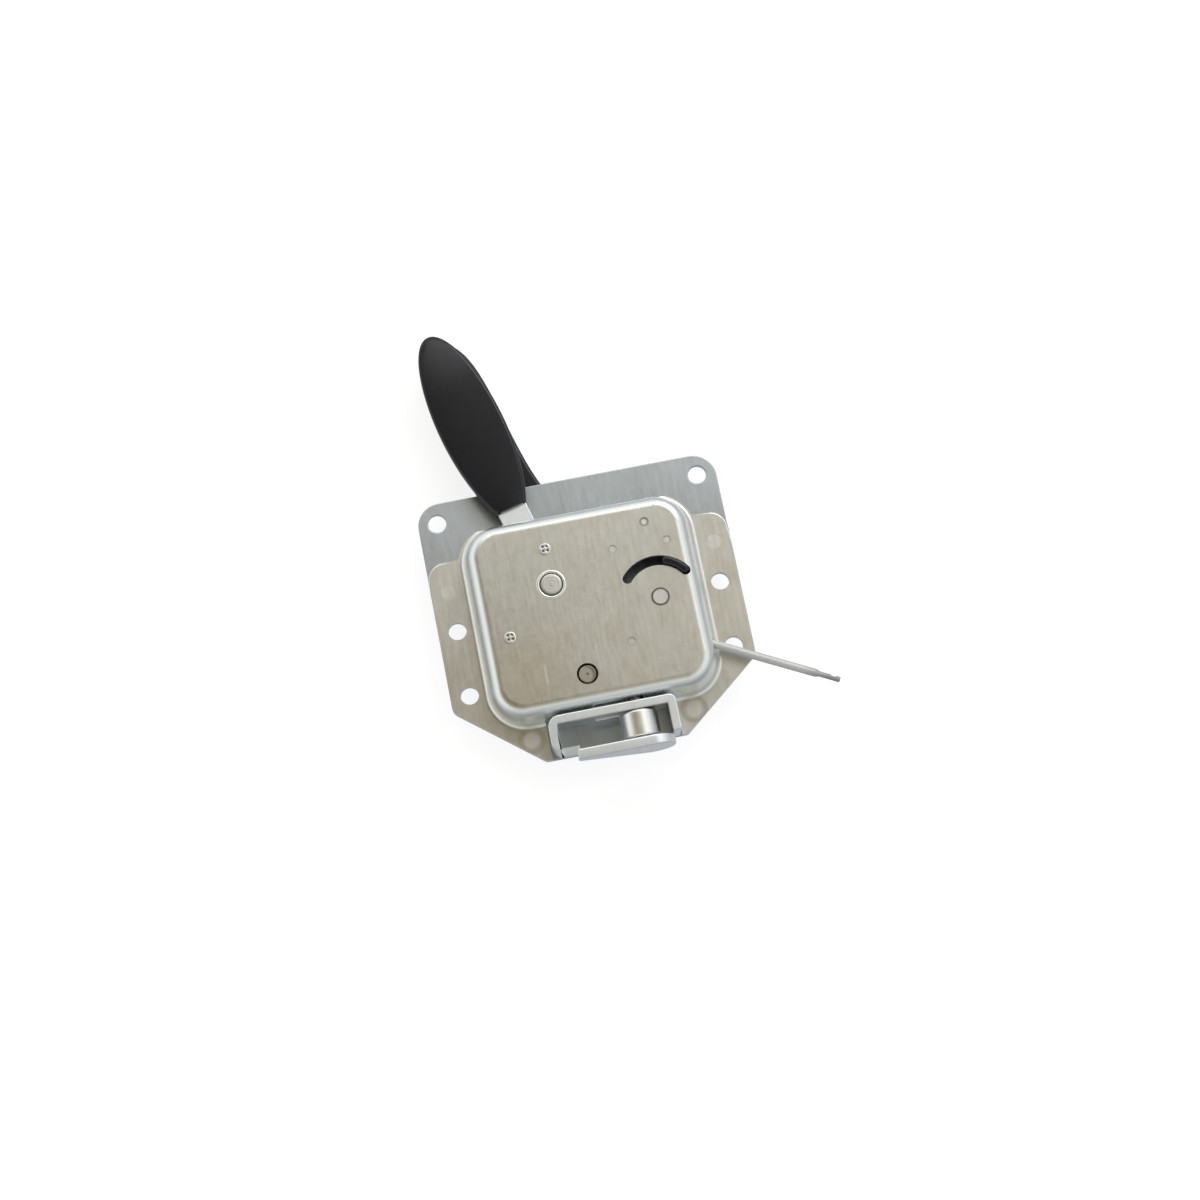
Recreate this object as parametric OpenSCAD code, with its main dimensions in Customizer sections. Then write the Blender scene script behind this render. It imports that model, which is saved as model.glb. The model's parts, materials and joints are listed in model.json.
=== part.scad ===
// Door latch with a two-leaf handle, a sliding roller bolt and a lock lever with its rod.
// X runs across the plate, Y towards the handle and Z out of the plate's back face.
// The origin is the centre of the four outer screw holes, on the plate's back face.

/* [Plate] */
// Width of the back plate
plate_w = 110; // [106:1:130]
// Top edge of the back plate above the origin
plate_top = 40; // [38:0.5:50]
// Depth below the origin at which the straight sides end
plate_side_low = 37.4; // [36:0.1:42]
// Bottom edge of the back plate below the origin
plate_low = 61; // [61:0.5:70]
// Width of the bottom edge
plate_low_w = 51; // [48:0.2:60]
// Thickness of the back plate
plate_t = 2; // [1:0.1:3]
// Radius of the plate's top corners
plate_corner_r = 8.5; // [4:0.5:12]
// Radius of the plate's lower corners
plate_low_r = 4; // [2:0.5:8]

/* [Screw holes] */
// Distance between the two columns of screw holes
hole_pitch_x = 96; // [95:0.5:98]
// Distance between the top and the bottom row of screw holes
hole_pitch_y = 65; // [60:0.5:66]
// Height of the middle row of screw holes
mid_hole_y = -8.5; // [-14:0.5:-4]
// Diameter of the screw holes
hole_d = 6.6; // [5:0.1:7]

/* [Cover] */
// Sheet thickness of the cover
cover_t = 1.6; // [1:0.1:2]
// Width of the drawn pan at its foot
pan_w = 86; // [84:0.5:88]
// Top edge of the pan's foot above the origin
pan_top = 27.7; // [27:0.1:30]
// Strip of the foot that is sheared off along the pan's top edge
top_trim = 1.3; // [0.5:0.1:1.6]
// Bottom edge of the pan's foot below the origin
pan_low = 49.4; // [49:0.1:50]
// Height of the pan's face over the back plate
pan_h = 13.6; // [13.4:0.1:15]
// Distance from the foot of the wall to the flat face
pan_inset = 7.6; // [7:0.1:8.5]
// Radius of the pan's shoulder
shoulder_r = 4.5; // [3:0.1:5]
// Radius at the foot of the pan's wall
foot_r = 2; // [1:0.1:2.5]
// Corner radius of the flat face
pan_corner_r = 7; // [5:0.5:9]
// Top edge of the flange above the origin
flange_top = 17.6; // [14:0.2:20]
// Radius of the flange's top corners
flange_corner_r = 6.5; // [3:0.5:9]

/* [Handle] */
// Place of the handle's pivot across the plate
pivot_x = -12.2; // [-14:0.1:-10]
// Place of the handle's pivot along the plate
pivot_y = -1.2; // [-2:0.1:0]
// Diameter of the handle's shaft
shaft_d = 8; // [7:0.1:8.4]
// Outer diameter of the bright front bush
bush_d = 10.4; // [10:0.1:12]
// Lean of the handle at rest, to the left of the Y axis
handle_lean = 14.6; // [12:0.2:17]
// Swing of the handle to the right
handle_swing = 30; // [20:1:30]
// Length of the lower arm that drives the bolt
drive_arm = 23; // [21:0.5:23.5]
// Diameter of the drive pin
drive_pin_d = 5; // [4:0.1:5.5]
// Distance from the pivot to the foot of the grip
grip_start = 33; // [33:0.5:36]
// Distance from the pivot to the tip of the grip
grip_end = 105.2; // [95:0.2:115]
// Width of the grip at its foot
grip_foot_w = 11.4; // [11:0.2:14]
// Pull of the grip's outline near its belly
grip_belly = 17.3; // [14:0.1:19]
// Pull of the grip's outline at its round tip
grip_tip = 11.2; // [9:0.1:14]
// Distance from the pivot to the tip of the rear leaf
rear_end = 107.5; // [100:0.5:115]
// Thickness of each leaf of the grip
leaf_t = 5; // [4.5:0.1:6]
// Sheet thickness of the handle's two arms
lever_t = 2.5; // [2:0.1:3]
// Width of the bare shank
shank_w = 11; // [10:0.5:12.5]
// Depth from the plate's back face to the rear arm
rear_depth = 6.1; // [5.8:0.1:8]

/* [Bolt] */
// Place of the roller's axis across the plate, bolt thrown
roller_x = 9; // [8:0.1:9.4]
// Height of the roller's axis over the plate
roller_z = 7.2; // [7.1:0.05:7.4]
// Diameter of the roller
roller_d = 13.6; // [12:0.1:13.8]
// Length of the roller
roller_l = 9.5; // [9:0.1:9.7]
// Diameter of the bolt's stem
stem_d = 5; // [4:0.1:5.2]
// Thickness of the tongue
tongue_t = 3.6; // [2.5:0.1:5]
// Radius of the tongue's round end
tongue_r = 7.5; // [6.5:0.1:8]
// Distance from the stem to the centre of the tongue's round end
tongue_lead = 3.8; // [2:0.1:5]
// Distance from the stem to the tongue's square end
tongue_reach = 23.6; // [18:0.2:26]
// Height of the tongue's square end
tongue_end_h = 5.4; // [4:0.1:9]
// Thickness of the bolt's carriage plate
carriage_t = 2.5; // [2:0.1:2.6]

/* [Bracket] */
// Outer width of the bolt bracket
bracket_w = 46; // [45:0.1:47]
// Upper outer face of the bracket below the origin
bracket_top = 47.7; // [47.6:0.05:47.8]
// Thickness of the bracket's strip
bracket_t = 3.2; // [2.6:0.1:3.2]
// Length of the bracket along Y
bracket_l = 13.2; // [13.1:0.05:13.3]
// Height of the bracket over the plate
bracket_h = 13; // [12:0.2:15]
// Height of the low return at the bracket's lower left
return_h = 3.2; // [2:0.1:5]
// Length of the low return
return_l = 10; // [5:0.2:10.4]

/* [Lock] */
// Distance from the right foot of the pan to the lock lever's pin
lock_x = 18.1; // [17.5:0.1:18.5]
// Place of the lock lever's pin along the plate
lock_y = -13; // [-13.6:0.1:-12.4]
// Diameter of the lock pin
lock_pin_d = 6; // [5:0.1:6.4]
// Radius of the arc slot
slot_r = 13.3; // [13:0.1:14]
// Width of the arc slot
slot_w = 3.6; // [3.4:0.1:4.2]
// Angle of the tab's middle at rest, from the X axis
tab_angle = 54; // [50:1:56]
// Angle that the tab covers
tab_span = 32; // [24:1:36]
// Swing of the lock lever
lock_swing = 65; // [50:1:65]
// Height of the tab over the cover's face
tab_h = 1.6; // [1:0.1:3]
// Angle of the rod below the X axis
rod_angle = 27.5; // [26:0.5:29]
// Distance from the lock pin to the rod's line
rod_offset = 9.3; // [9:0.1:9.6]
// Diameter of the rod
rod_d = 2.9; // [2.6:0.1:3.6]
// Length of the rod from its pin to its tip
rod_l = 75; // [70:0.5:90]
// Length of the thin tip
rod_tip_l = 9; // [5:0.5:14]
// Height of the rod's axis over the plate
rod_z = 5; // [4.6:0.1:5.4]

/* [Fits] */
// Radial clearance of a running fit
run_gap = 0.05; // [0.02:0.01:0.1]
// Radial clearance of a fixed fit
fit_gap = 0.02; // [0.01:0.01:0.04]
// Working clearance between plates
plate_gap = 0.4; // [0.3:0.05:0.4]

/* [Hidden] */
$fn = 64;
cut = 1;

// Levels over the plate's back face
flange_z = plate_t + cover_t;
face_z = plate_t + pan_h;
ceiling_z = face_z - cover_t;
roller_axis_z = plate_t + roller_z;
rod_axis_z = plate_t + rod_z;
carriage_z = plate_t + plate_gap;
carriage_top = carriage_z + carriage_t;
lever_lift = 5.5;
lever_z = plate_t + lever_lift;
lever_top = lever_z + lever_t;
lock_t = 2;
lock_lift = 0.6;
lock_z = lever_top + lock_lift;
lock_top = lock_z + lock_t;
rear_top = -rear_depth;
rear_low = rear_top - lever_t;

// Drawn pan
wall_drop = pan_h - cover_t - shoulder_r - foot_r;
draft = acos((shoulder_r + foot_r) / norm([pan_inset, wall_drop])) - atan2(wall_drop, pan_inset);
corner_x = pan_w / 2 - pan_inset - pan_corner_r;
corner_top = pan_top - pan_inset - pan_corner_r;
corner_low = -pan_low + pan_inset + pan_corner_r;
face_low = corner_low - pan_corner_r;
arc_steps = 8;
cap_steps = 14;
foot_land = 0.5;

// Bracket and the pan's recess round it
bracket_y = -bracket_top;
bracket_low = bracket_y - bracket_l;
recess_half = bracket_w / 2 + plate_gap;
recess_y = bracket_y + plate_gap;
recess_u = face_low - recess_y;
tenon_w = 5;

// Bolt
bolt_travel = 2 * drive_arm * sin(handle_swing / 2);
stem_slot_h = stem_d + 2 * plate_gap;
roller_end = bracket_low + plate_gap / 4;
tongue_y = bracket_low - plate_gap;
ear_t = 3;
ear_inset = 1.8;
ear_y = face_low - ear_inset;
stem_head_d = stem_d + 3;
stem_head_l = 1.4;
drive_x = pivot_x + drive_arm * sin(handle_swing / 2);
drive_y = pivot_y - drive_arm * cos(handle_swing / 2);
drive_low = pivot_y - drive_arm;
drive_play = 0.3;
drive_slot_w = drive_pin_d + drive_play;
stud_d = 6.2;
stud_x = -5.8;
stud_y = -35.4;
stud_2_x = -17;
stud_slot_w = stud_d + 2 * plate_gap;
stud_hole_d = 7.6;
stud_sunk = 0.3;
carriage_left = -22.4;
carriage_right = 17;
carriage_step_x = 2;
carriage_step_y = -30;
carriage_top_y = drive_y + drive_slot_w / 2 + 3.5;
spring_pin_x = 14;
spring_y = -36;
spring_pin_d = 3;
spring_post_inset = 11;
spring_post_x = pan_w / 2 - spring_post_inset;
bolt_wire = 0.9;
bolt_coil_d = 4.6;
bolt_pitch = 1.25;
bolt_spring_z = carriage_top + bolt_coil_d / 2 + plate_gap;

// Lock
lock_at = [pan_w / 2 - lock_x, lock_y];
rod_dir = [cos(rod_angle), -sin(rod_angle)];
rod_foot = lock_at - rod_offset * [sin(rod_angle), cos(rod_angle)];
rod_half_travel = rod_offset * tan(lock_swing / 2);
rod_start = rod_foot - rod_half_travel * rod_dir;
rod_arm_angle = -90 - rod_angle - lock_swing / 2;
rod_arm_r = rod_offset / cos(lock_swing / 2);
rod_pin_d = 3.2;
rod_eye_r = 3.4;
rod_eye_t = rod_d - 0.6;
rod_slot_w = rod_pin_d + 0.8;
tab_w = slot_w - 0.8;
slot_margin = 1.5;
slot_over = 5;
slot_start = tab_angle - tab_span / 2 - slot_margin;
slot_sweep = slot_margin + tab_span + lock_swing + slot_over;
lock_arm_w = 7;
lock_shoulder_d = lock_pin_d + 3;
lock_hub_d = 13;

// Grip
front_leaf_z = lever_z + lever_t / 2;
rear_leaf_z = rear_top - lever_t / 2;
pocket_w = 9;
pocket_l = 26;
leaf_steps = 24;
leaf_sides = 20;
leaf_tip = 0.985;
grip_flare = 25;
front_pull = [grip_foot_w / 2, grip_belly, grip_tip];
rear_left_pull = [6, 11, 10];
rear_right_pull = [17, 11, 22];

// Rivets and stakes
rivet_d = 5.6;
rivet_spots = [[29.3, -52.7], [-29.3, -52.7], [48.7, 6.2], [-48.7, 6.2]];
rivet_head_d = 8;
rivet_head_t = 0.6;
face_right = pan_w / 2 - pan_inset;
stake_spots = [[-12, 12], [5.3 - face_right, -17.4]];
stake_d = 4.4;
stake_proud = 0.25;
dimple_spots = [[face_right - 10.8, 15.1], [face_right - 4.2, 7], [11.6, 7.3], [11.7, -27]];
dimple_d = 3;
dimple_depth = 0.3;
head_t = 1;
bush_proud = 0.2;
shaft_proud = 0.5;

// Springs
handle_wire = 1.4;
handle_turns = 2.5;
rear_bush_d = 12;
handle_coil_r = rear_bush_d / 2 + handle_wire / 2 + 0.4;
handle_leg = 15;
lock_wire = 1;
lock_coil_r = 1.8;
lock_peg_r = 9;
lock_anchor_r = 22;
lock_spring_top = lock_z - lock_wire / 2 - 0.15;
peg_d = 3;
peg_touch = 0.1;

// Colours
zinc = "#b4b2a8";
bright = "#d4d6d3";
steel = "#c2c2b8";
dark_steel = "#8f8f89";
black = "#2c2b30";
spring_steel = "#a7a9a8";

// Round a closed outline: one radius for each of its points
function unit(v) = v / norm(v);
function turn(a) = a > 180 ? a - 360 : a < -180 ? a + 360 : a;
function corner_arc(before, at, after, r) =
    let (a = unit(before - at), b = unit(after - at), half = acos(a * b) / 2)
    let (centre = at + unit(a + b) * r / sin(half))
    let (from = at + a * r / tan(half) - centre, to = at + b * r / tan(half) - centre)
    let (start = atan2(from[1], from[0]), sweep = turn(atan2(to[1], to[0]) - start))
    arc(centre, r, start, start + sweep);
function rounded(pts, radii) =
    let (n = len(pts))
    [for (i = [0 : n - 1]) each corner_arc(pts[(i + n - 1) % n], pts[i], pts[(i + 1) % n], radii[i])];

// Points of an arc from one angle to another
function polar(r, a) = r * [cos(a), sin(a)];
function arc(centre, r, from, to, steps = arc_steps) =
    [for (i = [0 : steps]) centre + polar(r, from + (to - from) * i / steps)];

// Section of the drawn sheet: u runs outwards from the edge of the flat face
shoulder_at = [0, pan_h - shoulder_r];
foot_at = [pan_inset, cover_t + foot_r];
sheet_section = concat(
    [[-pan_corner_r, pan_h]],
    arc(shoulder_at, shoulder_r, 90, draft),
    arc(foot_at, foot_r, 180 + draft, 270),
    [[pan_inset + foot_land, cover_t], [pan_inset + foot_land, 0]],
    arc(foot_at, foot_r + cover_t, 270, 180 + draft),
    arc(shoulder_at, shoulder_r - cover_t, draft, 90),
    [[-pan_corner_r, pan_h - cover_t]]
);
function wall_height(u) =
    shoulder_at[1] + shoulder_r * sin(draft) - (u - shoulder_r * cos(draft)) / tan(draft);

// Left and right edge of each leaf of the grip, as curves from its foot to its tip
function leaf_edge(pull, side, end) = [
    [side * pull[0], grip_start],
    [side * pull[1], grip_start + grip_flare],
    [side * pull[2], end],
    [0, end]
];
front_edges = [leaf_edge(front_pull, -1, grip_end), leaf_edge(front_pull, 1, grip_end)];
rear_edges = [leaf_edge(rear_left_pull, -1, rear_end), leaf_edge(rear_right_pull, 1, rear_end)];
function bezier(p, s) =
    let (q = 1 - s)
    q * q * q * p[0] + 3 * q * q * s * p[1] + 3 * q * s * s * p[2] + s * s * s * p[3];
function power(x, e) = sign(x) * pow(abs(x), e);
function leaf_ring(edges, s, z) =
    let (left = bezier(edges[0], s), right = bezier(edges[1], s))
    let (mid = (left[0] + right[0]) / 2, half = (right[0] - left[0]) / 2)
    let (h = leaf_t / 2 * min(1, sqrt(half / 4)))
    [for (i = [0 : leaf_sides - 1])
        let (a = 360 * i / leaf_sides)
        [mid + half * power(cos(a), 0.5), left[1], z + h * power(sin(a), 0.5)]];

// Solid through a list of rings with equal numbers of points
module loft(rings) {
    n = len(rings[0]);
    last = len(rings) - 1;
    sides = [for (k = [0 : last - 1], i = [0 : n - 1])
        [k * n + i, k * n + (i + 1) % n, (k + 1) * n + (i + 1) % n, (k + 1) * n + i]];
    low_cap = [[for (i = [n - 1 : -1 : 0]) i]];
    top_cap = [[for (i = [0 : n - 1]) last * n + i]];
    points = [for (ring = rings) each ring];
    polyhedron(points = points, faces = concat(sides, low_cap, top_cap), convexity = 6);
}

// Round wire along a path that never runs along the reference direction
wire_sides = 6;
module wire(path, d, ref) {
    last = len(path) - 1;
    rings = [for (k = [0 : last])
        let (along = unit(path[min(k + 1, last)] - path[max(k - 1, 0)]))
        let (side = unit(cross(ref, along)), up = cross(along, side))
        [for (i = [0 : wire_sides - 1])
            path[k] - d / 2 * (cos(360 * i / wire_sides) * side - sin(360 * i / wire_sides) * up)]];
    loft(rings);
}

// Straight bar with round ends between two points
module bar(from, to, w) {
    along = atan2(to[1] - from[1], to[0] - from[0]);
    polygon(concat(
        arc(to, w / 2, along - 90, along + 90, cap_steps),
        arc(from, w / 2, along + 90, along + 270, cap_steps)));
}

// Curved bar with round ends on a circle about the origin
module curved_bar(r, w, from, sweep) {
    to = from + sweep;
    polygon(concat(
        arc([0, 0], r + w / 2, from, to, 2 * cap_steps),
        arc(polar(r, to), w / 2, to, to + 180, cap_steps),
        arc([0, 0], r - w / 2, to, from, 2 * cap_steps),
        arc(polar(r, from), w / 2, from + 180, from + 360, cap_steps)));
}

// Block with round upright corners
module round_block(low, high, r, z, h) {
    translate([low[0] + r, low[1], z]) cube([high[0] - low[0] - 2 * r, high[1] - low[1], h]);
    translate([low[0], low[1] + r, z]) cube([high[0] - low[0], high[1] - low[1] - 2 * r, h]);
    for (x = [low[0] + r, high[0] - r], y = [low[1] + r, high[1] - r])
        translate([x, y, z]) cylinder(r = r, h = h);
}

module at_pivot() {
    translate([pivot_x, pivot_y, 0]) children();
}

module at_handle() {
    at_pivot() rotate([0, 0, handle_lean]) children();
}

module at_lock() {
    translate([lock_at[0], lock_at[1], 0]) children();
}

// Back plate

module screw_holes(rows) {
    for (x = [-1, 1], y = rows)
        translate([x * hole_pitch_x / 2, y, -cut]) cylinder(d = hole_d, h = flange_z + 2 * cut);
}

module back_plate() {
    outline = rounded(
        [[-plate_w / 2, plate_top], [-plate_w / 2, -plate_side_low], [-plate_low_w / 2, -plate_low],
         [plate_low_w / 2, -plate_low], [plate_w / 2, -plate_side_low], [plate_w / 2, plate_top]],
        [plate_corner_r, plate_low_r, plate_low_r / 2, plate_low_r / 2, plate_low_r, plate_corner_r]);
    color(zinc) difference() {
        linear_extrude(plate_t) polygon(outline);
        screw_holes([-hole_pitch_y / 2, mid_hole_y, hole_pitch_y / 2]);
        for (spot = rivet_spots) hole(spot, rivet_d + 2 * fit_gap, 0, plate_t);
        hole([pivot_x, pivot_y], rear_bush_d + 2 * fit_gap, 0, plate_t);
        hole(lock_at, lock_pin_d + 2 * fit_gap, 0, plate_t);
        for (x = [stud_x, stud_2_x]) hole([x, stud_y], stud_d + 2 * fit_gap, 0, plate_t);
        for (spot = post_spots) hole(spot, peg_d + 2 * fit_gap, 0, plate_t);
        bracket_tenons(fit_gap);
    }
}

// Drawn cover with its flange

module pan_side(at, angle, span) {
    translate([at[0], at[1], plate_t]) rotate([90, 0, angle]) translate([0, 0, -span / 2])
        linear_extrude(span) polygon(sheet_section);
}

module drawn_pan() {
    mid_y = (corner_top + corner_low) / 2;
    span_y = corner_top - corner_low;
    for (side = [-1, 1])
        pan_side([side * (corner_x + pan_corner_r), mid_y], side > 0 ? 0 : 180, span_y);
    pan_side([0, corner_top + pan_corner_r], 90, 2 * corner_x);
    pan_side([0, corner_low - pan_corner_r], 270, 2 * corner_x);
    for (k = [0 : 3])
        translate([k == 0 || k == 3 ? corner_x : -corner_x, k < 2 ? corner_top : corner_low, plate_t])
            rotate([0, 0, 90 * k]) rotate_extrude(angle = 90)
                translate([pan_corner_r, 0]) polygon(sheet_section);
    translate([-corner_x, corner_low, ceiling_z]) cube([2 * corner_x, span_y, cover_t]);
}

module flange() {
    outline = rounded(
        [[-plate_w / 2, flange_top], [-plate_w / 2, -plate_side_low], [-plate_low_w / 2, -plate_low],
         [plate_low_w / 2, -plate_low], [plate_w / 2, -plate_side_low], [plate_w / 2, flange_top]],
        [flange_corner_r, plate_low_r, plate_low_r / 2, plate_low_r / 2, plate_low_r, flange_corner_r]);
    difference() {
        translate([0, 0, plate_t]) linear_extrude(cover_t) polygon(outline);
        round_block([-pan_w / 2, -pan_low], [pan_w / 2, pan_top], pan_corner_r + pan_inset,
            plate_t - cut, cover_t + 2 * cut);
    }
}

// Wall of the recess that makes room for the bracket, with a cheek at each end
module recess_walls() {
    top = wall_height(recess_u);
    cheek = concat([[recess_u - cover_t, 0], [recess_u - cover_t, top], [recess_u, top]],
        arc(foot_at, foot_r, 180 + draft, 270), [[pan_inset, 0]]);
    translate([-recess_half, recess_y, plate_t]) cube([2 * recess_half, cover_t, top]);
    for (side = [-1, 1])
        translate([side * (recess_half + cover_t / 2), face_low, plate_t]) rotate([90, 0, 270])
            translate([0, 0, -cover_t / 2]) linear_extrude(cover_t) polygon(cheek);
}

module arc_slot() {
    at_lock() translate([0, 0, ceiling_z - cut]) linear_extrude(cover_t + 2 * cut)
        curved_bar(slot_r, slot_w, slot_start, slot_sweep);
}

// Upright round hole through the sheet between two heights
module hole(at, d, low, high) {
    translate([at[0], at[1], low - cut]) cylinder(d = d, h = high - low + 2 * cut);
}

module cover_openings() {
    screw_holes([-hole_pitch_y / 2, mid_hole_y]);
    for (spot = rivet_spots) hole(spot, rivet_d + 2 * fit_gap, plate_t, flange_z);
    hole([pivot_x, pivot_y], bush_d + 2 * fit_gap, ceiling_z, face_z);
    hole(lock_at, lock_pin_d + 2 * fit_gap, ceiling_z, face_z);
    hole([stud_x, stud_y], stud_hole_d, ceiling_z, face_z);
    for (spot = stake_spots) hole(spot, stake_d + 2 * fit_gap, ceiling_z, face_z);
    for (spot = dimple_spots) hole(spot, dimple_d, face_z - dimple_depth + cut, face_z);
    arc_slot();
    shank_opening();
    stem_opening(face_low - pan_inset - cut, pan_inset + cut);
    rod_opening();
}

// Window in the pan's upper wall that the shank swings in
module shank_opening() {
    reach = corner_top - pivot_y + pan_corner_r;
    half = (shank_w / 2 + plate_gap) / cos(handle_lean) + pan_inset / 3;
    side = reach * tan(handle_lean) + half;
    other = reach * tan(handle_swing - handle_lean) + half;
    translate([pivot_x - side, corner_top + pan_corner_r, lever_z - plate_gap])
        cube([side + other, pan_inset + cut, lever_t + 2 * plate_gap]);
}

// Slot that the stem slides in, through the pan's lower wall or the bracket
module stem_opening(y, l) {
    left = roller_x - bolt_travel - stem_slot_h / 2;
    translate([left, y, roller_axis_z - stem_slot_h / 2])
        cube([bolt_travel + stem_slot_h, l, stem_slot_h]);
}

module rod_opening() {
    from = rod_foot + rod_dir * (corner_x - rod_foot[0]);
    translate([from[0], from[1], rod_axis_z]) rotate([0, 90, -rod_angle])
        cylinder(d = rod_d + 2 * plate_gap, h = 2 * (pan_inset + pan_corner_r));
}

module cover_pan() {
    color(bright) difference() {
        union() {
            difference() {
                union() {
                    drawn_pan();
                    flange();
                }
                translate([-recess_half, -plate_low - cut, plate_t - cut])
                    cube([2 * recess_half, plate_low + cut + recess_y, face_z]);
            }
            recess_walls();
        }
        translate([-pan_w / 2, pan_top - top_trim, plate_t - cut])
            cube([pan_w, top_trim + foot_land + cut, pan_h]);
        cover_openings();
    }
}

// Bolt bracket with two tenons in the plate

module bracket_tenons(gap) {
    tenon_h = gap > 0 ? plate_t + 2 * cut : plate_t;
    for (side = [-1, 1])
        translate([side * (bracket_w / 2 - bracket_t / 2), bracket_y - bracket_l / 2, plate_t / 2])
            cube([bracket_t / 2 + 2 * gap, tenon_w + 2 * gap, tenon_h], center = true);
}

module bolt_bracket() {
    half = bracket_w / 2;
    outer = rounded([[-half, bracket_y], [-half, bracket_low], [half, bracket_low], [half, bracket_y]],
        [bracket_t * 1.3, bracket_t * 1.2, bracket_t / 3, bracket_t * 0.8]);
    inner_half = half - bracket_t;
    color(bright) union() {
        difference() {
            translate([0, 0, plate_t]) linear_extrude(bracket_h) polygon(outer);
            translate([-inner_half, bracket_low + bracket_t, plate_t - cut])
                cube([2 * inner_half, bracket_l - 2 * bracket_t, bracket_h + 2 * cut]);
            translate([-inner_half + return_l - bracket_t, bracket_low - cut, plate_t - cut])
                cube([2 * inner_half - return_l + bracket_t, bracket_t + 2 * cut, bracket_h + 2 * cut]);
            translate([-inner_half, bracket_low - cut, plate_t + return_h])
                cube([return_l, bracket_t + 2 * cut, bracket_h]);
            stem_opening(bracket_y - bracket_t - cut, bracket_t + 2 * cut);
        }
        bracket_tenons(0);
    }
}

// Fixed small pieces

module plate_rivets() {
    color(steel) for (spot = rivet_spots) translate([spot[0], spot[1], 0]) {
        translate([0, 0, -rivet_head_t]) cylinder(d = rivet_head_d, h = rivet_head_t);
        cylinder(d = rivet_d, h = flange_z);
    }
}

module stake_rivets() {
    color(steel) for (spot = stake_spots) translate([spot[0], spot[1], 0]) {
        translate([0, 0, ceiling_z - head_t]) cylinder(d = stake_d + 2, h = head_t);
        translate([0, 0, ceiling_z]) cylinder(d = stake_d, h = cover_t + stake_proud);
    }
}

module shaft_bush_front() {
    color(bright) at_pivot() difference() {
        union() {
            translate([0, 0, ceiling_z - head_t]) cylinder(d = bush_d + 3, h = head_t);
            translate([0, 0, ceiling_z]) cylinder(d = bush_d, h = cover_t + bush_proud);
        }
        hole([0, 0], shaft_d + 2 * run_gap, ceiling_z - head_t, face_z + bush_proud);
    }
}

module shaft_bush_rear() {
    color(steel) at_pivot() difference() {
        translate([0, 0, rear_top + plate_gap])
            cylinder(d = rear_bush_d, h = rear_depth - plate_gap + plate_t);
        hole([0, 0], shaft_d + 2 * run_gap, rear_top, plate_t);
    }
}

module guide_studs() {
    color(steel) {
        translate([stud_x, stud_y, 0]) cylinder(d = stud_d, h = face_z - stud_sunk);
        translate([stud_2_x, stud_y, 0]) cylinder(d = stud_d, h = carriage_top + plate_gap);
        translate([stud_2_x, stud_y, carriage_top + plate_gap]) cylinder(d = stud_slot_w + 2, h = head_t);
    }
}

// Anchor of the bolt's spring, of the handle's spring behind the plate and of the lock's spring
leg_side = handle_coil_r - handle_wire / 2 - peg_d / 2 - peg_touch;
handle_anchor = [pivot_x + handle_leg - 2, pivot_y + leg_side];
rear_peg = [pivot_x + handle_leg - 4, pivot_y - leg_side];
lock_dead_angle = tab_angle + lock_swing / 2;
lock_peg = lock_at + polar(lock_peg_r, tab_angle);
lock_anchor = lock_at + polar(lock_anchor_r, lock_dead_angle);
lock_coil_at = (lock_peg + lock_anchor) / 2 + [7, -0.5];
post_spots = [[spring_post_x, spring_y], handle_anchor, lock_anchor];

module spring_posts() {
    color(steel) {
        translate([spring_post_x, spring_y, 0]) cylinder(d = peg_d, h = bolt_spring_z + 2);
        translate([handle_anchor[0], handle_anchor[1], -4]) cylinder(d = peg_d, h = 4 + plate_t);
        translate([lock_anchor[0], lock_anchor[1], 0])
            cylinder(d = peg_d, h = lock_spring_top + lock_wire / 2);
    }
}

module lock_pin() {
    color(steel) at_lock() {
        cylinder(d = lock_pin_d, h = face_z);
        translate([0, 0, plate_t]) cylinder(d = lock_shoulder_d, h = lock_z - plate_gap / 4 - plate_t);
    }
}

module lock_washer() {
    low = lock_top + plate_gap / 4;
    color(steel) at_lock() difference() {
        translate([0, 0, low]) cylinder(d = lock_shoulder_d, h = ceiling_z - low);
        hole([0, 0], lock_pin_d + 2 * fit_gap, low, ceiling_z);
    }
}

// Handle

module handle_shaft() {
    clip_room = 1.4;
    color(dark_steel) at_pivot() {
        translate([0, 0, rear_low - clip_room])
            cylinder(d = shaft_d, h = face_z + shaft_proud - rear_low + clip_room);
        translate([0, 0, plate_t + plate_gap]) cylinder(d = shaft_d + 3, h = lever_z - plate_t - plate_gap);
    }
}

// Outline of the shank, narrower where it enters the grip
module shank() {
    wide = shank_w / 2;
    narrow = pocket_w / 2;
    top = grip_start + pocket_l - 0.5;
    translate([pivot_x, pivot_y]) rotate(handle_lean) polygon([
        [-wide, 0], [wide, 0], [wide, grip_start], [narrow, grip_start],
        [narrow, top], [-narrow, top], [-narrow, grip_start], [-wide, grip_start]]);
}

module handle_lever() {
    color(bright) difference() {
        translate([0, 0, lever_z]) linear_extrude(lever_t) {
            translate([pivot_x, pivot_y]) circle(d = 2 * shaft_d);
            bar([pivot_x, pivot_y], [drive_x, drive_y], drive_pin_d + 4.5);
            shank();
        }
        hole([pivot_x, pivot_y], shaft_d + 2 * fit_gap, lever_z, lever_top);
        hole([drive_x, drive_y], drive_pin_d + 2 * fit_gap, lever_z, lever_top);
    }
}

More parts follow.
